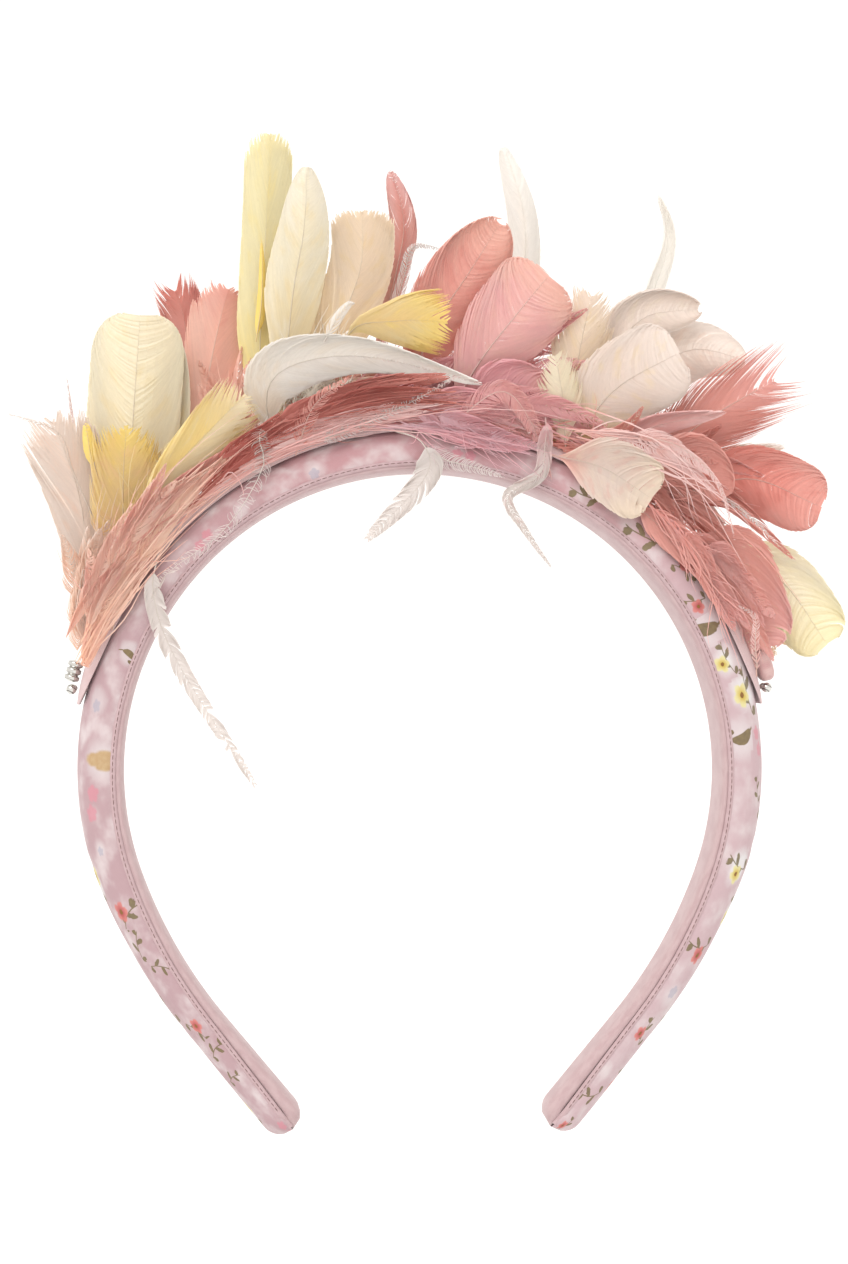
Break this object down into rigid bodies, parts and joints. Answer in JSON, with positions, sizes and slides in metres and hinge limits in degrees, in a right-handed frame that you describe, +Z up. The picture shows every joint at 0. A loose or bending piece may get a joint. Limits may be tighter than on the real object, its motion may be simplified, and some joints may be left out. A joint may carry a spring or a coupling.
{
  "type": "feather headband",
  "caption": "Padded arch headband in pale flower-printed fabric, with a crest of cream, yellow, blush, pink and coral feathers along the top.",
  "frame": {"origin": "crown of the arch's inner face, where the head carries the band, midway between front and back", "axes": "+Z up through the crown, +X towards the tip on the viewer's right, +Y from the front face to the back"},
  "size_m": [0.1765, 0.053, 0.2157],
  "materials": {
    "floral_fabric": "pale pink cotton with a scattered flower print, padded",
    "lining_fabric": "plain dusty pink woven fabric",
    "strip_fabric": "peach pink felted strip",
    "silver": "bright silver metal",
    "feather_cream": "soft cream feather vane, slightly see-through",
    "feather_yellow": "pale to golden yellow feather vane",
    "feather_beige": "beige feather vane with a pale rib",
    "feather_white": "off-white feather vane and down",
    "feather_blush": "blush feather vane, slightly see-through",
    "feather_coral": "coral feather vane, deeper at the base",
    "feather_pink": "dusty pink feather vane with fringed tips",
    "feather_rose": "rose pink hackle"
  },
  "bodies": {
    "root": {"band_cover": "floral_fabric", "inner_lining": "lining_fabric", "base_strip": "strip_fabric", "end_tab_right": "strip_fabric", "end_barrel_left": "silver", "end_bead_left": "silver", "end_ball_left": "silver", "end_bead_right": "silver", "end_ball_right": "silver", "beige_drop": "feather_beige", "beige_serrated": "feather_beige", "beige_square": "feather_beige", "blush_fan_left": "feather_blush", "blush_fringe_mid": "feather_blush", "blush_fringe_right": "feather_blush", "blush_petal_right": "feather_blush", "blush_petal_top": "feather_blush", "coral_down_left": "feather_coral", "coral_inner_left": "feather_coral", "coral_large_up": "feather_coral", "coral_lock_low": "feather_coral", "coral_mass_right": "feather_coral", "coral_petal_left": "feather_coral", "coral_petal_small": "feather_coral", "coral_pointed_right": "feather_coral", "coral_spray_left": "feather_pink", "cream_petal_back": "feather_cream", "cream_petal_left": "feather_cream", "cream_pointed": "feather_cream", "cream_ruffle": "feather_cream", "golden_vane": "feather_yellow", "hanging_feather_left": "feather_white", "hanging_feather_mid": "feather_white", "peach_down_left": "feather_blush", "peach_petal_front": "feather_blush", "pink_blade_top": "feather_pink", "pink_fan_right": "feather_pink", "pink_large_right": "feather_pink", "pink_lock_end": "feather_pink", "pink_petal_low": "feather_pink", "rose_hackle_arc": "feather_rose", "rose_inner_right": "feather_rose", "rose_lower": "feather_rose", "white_blade_top": "feather_white", "white_crescent_top": "feather_white", "white_scythe": "feather_white", "yellow_fringe": "feather_yellow", "yellow_petal_low": "feather_yellow", "yellow_split": "feather_yellow", "yellow_tall": "feather_yellow"}
  },
  "joints": []
}
